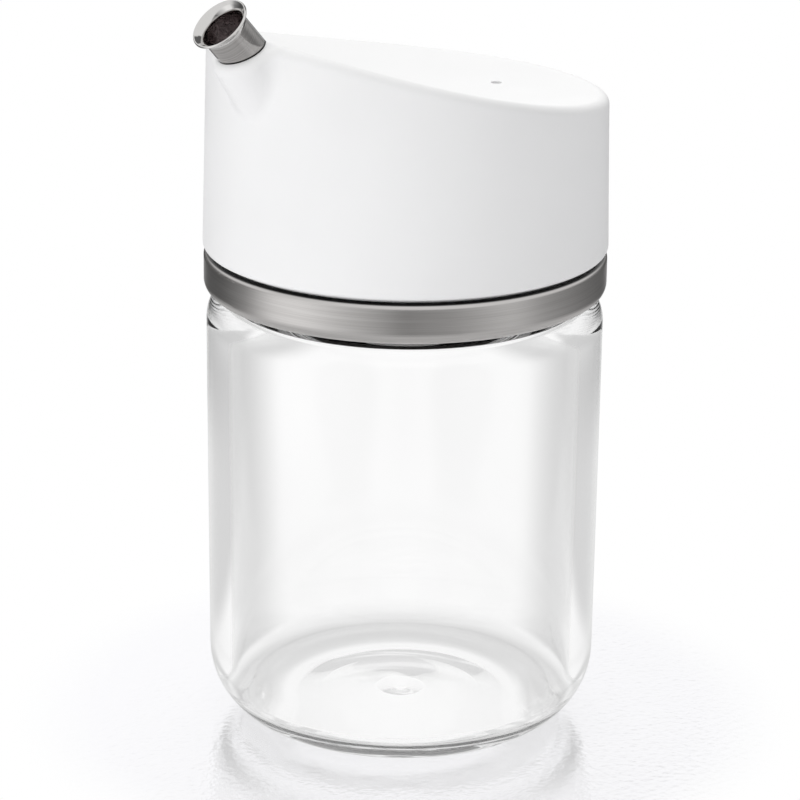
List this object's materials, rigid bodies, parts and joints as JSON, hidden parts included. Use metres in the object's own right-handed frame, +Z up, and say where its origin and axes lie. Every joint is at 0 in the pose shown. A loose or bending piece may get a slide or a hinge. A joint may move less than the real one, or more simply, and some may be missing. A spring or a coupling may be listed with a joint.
{
  "type": "oil dispenser",
  "caption": "Clear glass jar with a thick base, a steel collar band and a white moulded lid with a dished top and a flared steel pouring spout; the jar is empty.",
  "frame": {"origin": "on the jar's axis, at the plane of the foot ring it stands on", "axes": "+Z up along the jar's axis; +X towards the spout, which leans out along it; +Y to the left of the spout, so y = 0 is the mirror plane"},
  "size_m": [0.0729, 0.0648, 0.1236],
  "materials": {
    "clear_glass": "clear, polished",
    "brushed_steel": "brushed round the band",
    "white_plastic": "fine matt moulded",
    "polished_steel": "satin tube with a bright flared rim"
  },
  "bodies": {
    "root": {"glass_jar": "clear_glass", "collar_band": "brushed_steel", "lid": "white_plastic", "spout_tube": "polished_steel"}
  },
  "joints": []
}
